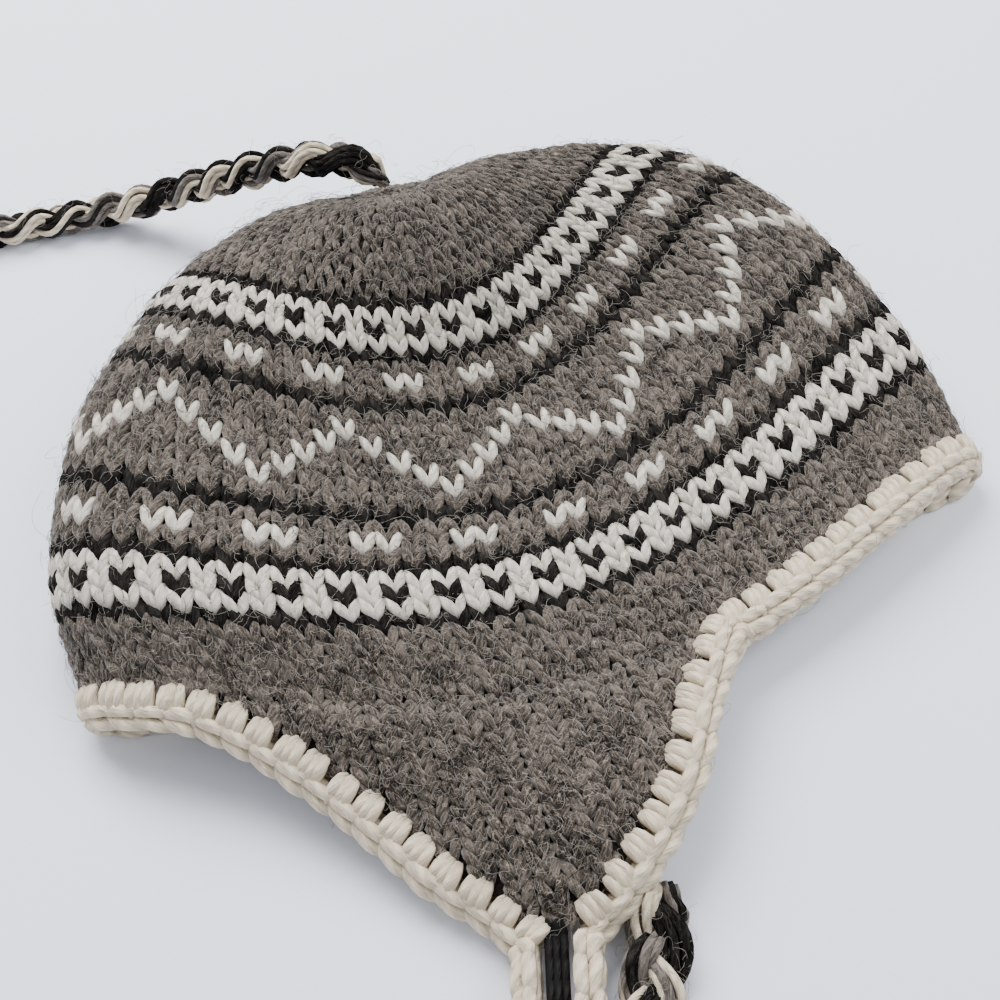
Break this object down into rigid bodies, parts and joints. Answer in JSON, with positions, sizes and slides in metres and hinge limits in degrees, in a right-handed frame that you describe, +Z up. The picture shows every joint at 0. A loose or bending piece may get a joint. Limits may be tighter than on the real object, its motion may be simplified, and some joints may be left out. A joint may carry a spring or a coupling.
{
  "type": "chullo hat",
  "caption": "Knitted wool earflap hat lying on its side, with patterned bands, crochet edging and long plaited cords ending in tassels.",
  "frame": {"origin": "on the floor under the middle of the hat's own box, cords left out", "axes": "X along the rim from fold to fold, +Y from the ear flaps to the crown, +Z up from the floor"},
  "size_m": [0.3696, 0.5192, 0.0567],
  "materials": {
    "grey_wool": "fuzzy knitted wool",
    "dark_wool": "loose wool yarn",
    "cream_wool": "crocheted wool",
    "plaited_wool": "plaited wool yarn"
  },
  "bodies": {
    "root": {"body": "grey_wool", "crown": "grey_wool", "ear_flap_upper": "grey_wool", "ear_flap_under": "grey_wool", "edging": "cream_wool", "top_braid": "plaited_wool", "flap_braid_upper": "plaited_wool", "flap_braid_under": "plaited_wool", "top_tassel": "dark_wool", "flap_tassel_upper": "dark_wool", "flap_tassel_under": "dark_wool"}
  },
  "joints": []
}
